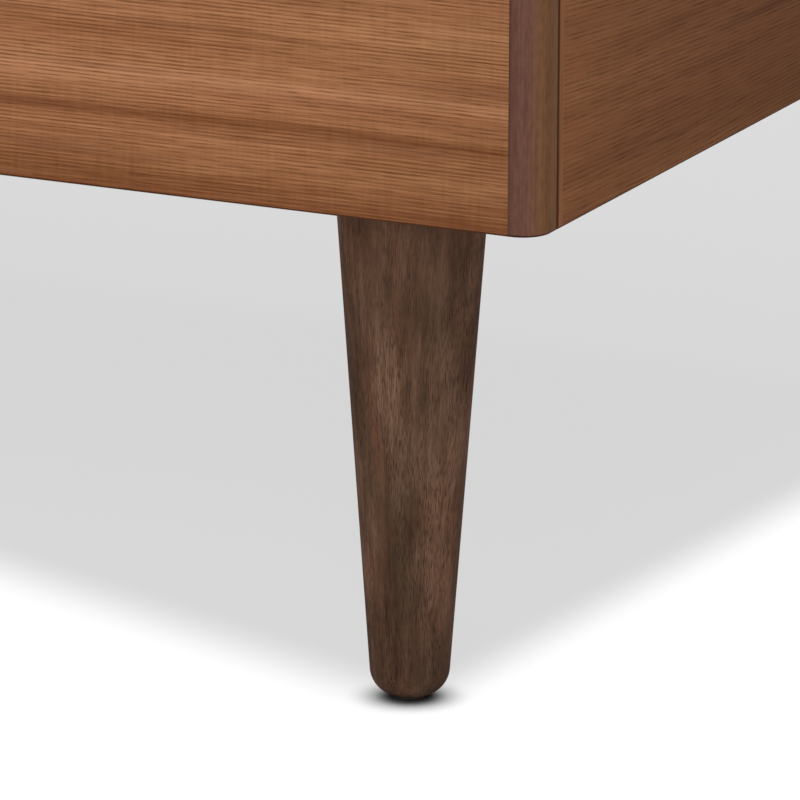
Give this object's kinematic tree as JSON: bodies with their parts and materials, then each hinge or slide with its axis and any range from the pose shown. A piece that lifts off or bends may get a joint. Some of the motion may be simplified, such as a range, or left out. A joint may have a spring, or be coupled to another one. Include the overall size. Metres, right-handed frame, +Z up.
{
  "type": "bedside table",
  "caption": "Bedside table with full-width overlay drawers on telescopic ball slides, rounded dark lippings and turned tapered legs.",
  "frame": {"origin": "on the floor, at the middle of the whole object, knobs included", "axes": "+Z up, +X to the right seen from the front, the drawers open towards -Y"},
  "size_m": [0.48, 0.454, 0.56],
  "materials": {
    "front_veneer": "satin lacquered walnut veneer, straight horizontal grain",
    "case_veneer": "satin lacquered walnut veneer, darker, open curved grain",
    "dark_lipping": "satin lacquered solid walnut, dark and fine",
    "leg_walnut": "satin oiled dark walnut, streaked along the leg",
    "knob_walnut": "satin oiled dark walnut, turned",
    "drawer_box_beech": "matt lacquered solid beech",
    "drawer_bottom_ply": "matt thin birch plywood",
    "back_board": "matt veneered thin board",
    "dowel_beech": "plain fluted beech",
    "slide_steel": "bright zinc-plated rolled steel",
    "bearing_steel": "hardened steel balls in plated strip cages",
    "plate_steel": "semi-matt black coated steel",
    "screw_steel": "zinc-plated steel",
    "cam_zinc": "die-cast zinc alloy, dull grey",
    "glide_nylon": "dark brown nylon"
  },
  "bodies": {
    "case": {"top_panel": "case_veneer", "top_front_lipping": "dark_lipping", "top_left_lipping": "dark_lipping", "top_right_lipping": "dark_lipping", "left_side_panel": "case_veneer", "right_side_panel": "case_veneer", "side_edge_strips": "dark_lipping", "bottom_panel": "case_veneer", "middle_rail": "case_veneer", "back_panel": "back_board", "back_panel_screws": "screw_steel", "cam_discs": "cam_zinc", "cam_bolts": "screw_steel", "dowels": "dowel_beech", "case_wood_screws": "screw_steel", "front_left_leg": "leg_walnut", "front_right_leg": "leg_walnut", "rear_left_leg": "leg_walnut", "rear_right_leg": "leg_walnut", "leg_plates": "plate_steel", "leg_hanger_bolts": "screw_steel", "leg_glides": "glide_nylon", "lower_left_cabinet_member": "slide_steel", "lower_right_cabinet_member": "slide_steel", "upper_left_cabinet_member": "slide_steel", "upper_right_cabinet_member": "slide_steel"},
    "upper_drawer": {"upper_front_panel": "front_veneer", "upper_front_left_lipping": "dark_lipping", "upper_front_right_lipping": "dark_lipping", "upper_knob": "knob_walnut", "upper_knob_screw": "screw_steel", "upper_box_front": "drawer_box_beech", "upper_box_back": "drawer_box_beech", "upper_box_left_side": "drawer_box_beech", "upper_box_right_side": "drawer_box_beech", "upper_box_bottom": "drawer_bottom_ply", "upper_drawer_screws": "screw_steel", "upper_left_drawer_member": "slide_steel", "upper_right_drawer_member": "slide_steel"},
    "upper_middle_members": {"upper_left_middle_member": "slide_steel", "upper_right_middle_member": "slide_steel"},
    "upper_outer_cages": {"upper_outer_ball_cages": "bearing_steel"},
    "upper_inner_cages": {"upper_inner_ball_cages": "bearing_steel"},
    "lower_drawer": {"lower_front_panel": "front_veneer", "lower_front_left_lipping": "dark_lipping", "lower_front_right_lipping": "dark_lipping", "lower_knob": "knob_walnut", "lower_knob_screw": "screw_steel", "lower_box_front": "drawer_box_beech", "lower_box_back": "drawer_box_beech", "lower_box_left_side": "drawer_box_beech", "lower_box_right_side": "drawer_box_beech", "lower_box_bottom": "drawer_bottom_ply", "lower_drawer_screws": "screw_steel", "lower_left_drawer_member": "slide_steel", "lower_right_drawer_member": "slide_steel"},
    "lower_middle_members": {"lower_left_middle_member": "slide_steel", "lower_right_middle_member": "slide_steel"},
    "lower_outer_cages": {"lower_outer_ball_cages": "bearing_steel"},
    "lower_inner_cages": {"lower_inner_ball_cages": "bearing_steel"}
  },
  "joints": [
    {"name": "upper_drawer_slide", "type": "slide", "parent": "case", "child": "upper_drawer", "axis": [0, -1, 0], "range_m": [0, 0.335]},
    {"name": "upper_middle_members_slide", "type": "slide", "parent": "case", "child": "upper_middle_members", "axis": [0, -1, 0], "range_m": [0, 0.1675]},
    {"name": "upper_outer_cages_slide", "type": "slide", "parent": "case", "child": "upper_outer_cages", "axis": [0, -1, 0], "range_m": [0, 0.08375]},
    {"name": "upper_inner_cages_slide", "type": "slide", "parent": "case", "child": "upper_inner_cages", "axis": [0, -1, 0], "range_m": [0, 0.25125]},
    {"name": "lower_drawer_slide", "type": "slide", "parent": "case", "child": "lower_drawer", "axis": [0, -1, 0], "range_m": [0, 0.335]},
    {"name": "lower_middle_members_slide", "type": "slide", "parent": "case", "child": "lower_middle_members", "axis": [0, -1, 0], "range_m": [0, 0.1675]},
    {"name": "lower_outer_cages_slide", "type": "slide", "parent": "case", "child": "lower_outer_cages", "axis": [0, -1, 0], "range_m": [0, 0.08375]},
    {"name": "lower_inner_cages_slide", "type": "slide", "parent": "case", "child": "lower_inner_cages", "axis": [0, -1, 0], "range_m": [0, 0.25125]}
  ],
  "couplings": [
    {"joint": "upper_middle_members_slide", "follows": "upper_drawer_slide", "ratio": 0.5},
    {"joint": "upper_outer_cages_slide", "follows": "upper_drawer_slide", "ratio": 0.25},
    {"joint": "upper_inner_cages_slide", "follows": "upper_drawer_slide", "ratio": 0.75},
    {"joint": "lower_middle_members_slide", "follows": "lower_drawer_slide", "ratio": 0.5},
    {"joint": "lower_outer_cages_slide", "follows": "lower_drawer_slide", "ratio": 0.25},
    {"joint": "lower_inner_cages_slide", "follows": "lower_drawer_slide", "ratio": 0.75}
  ]
}
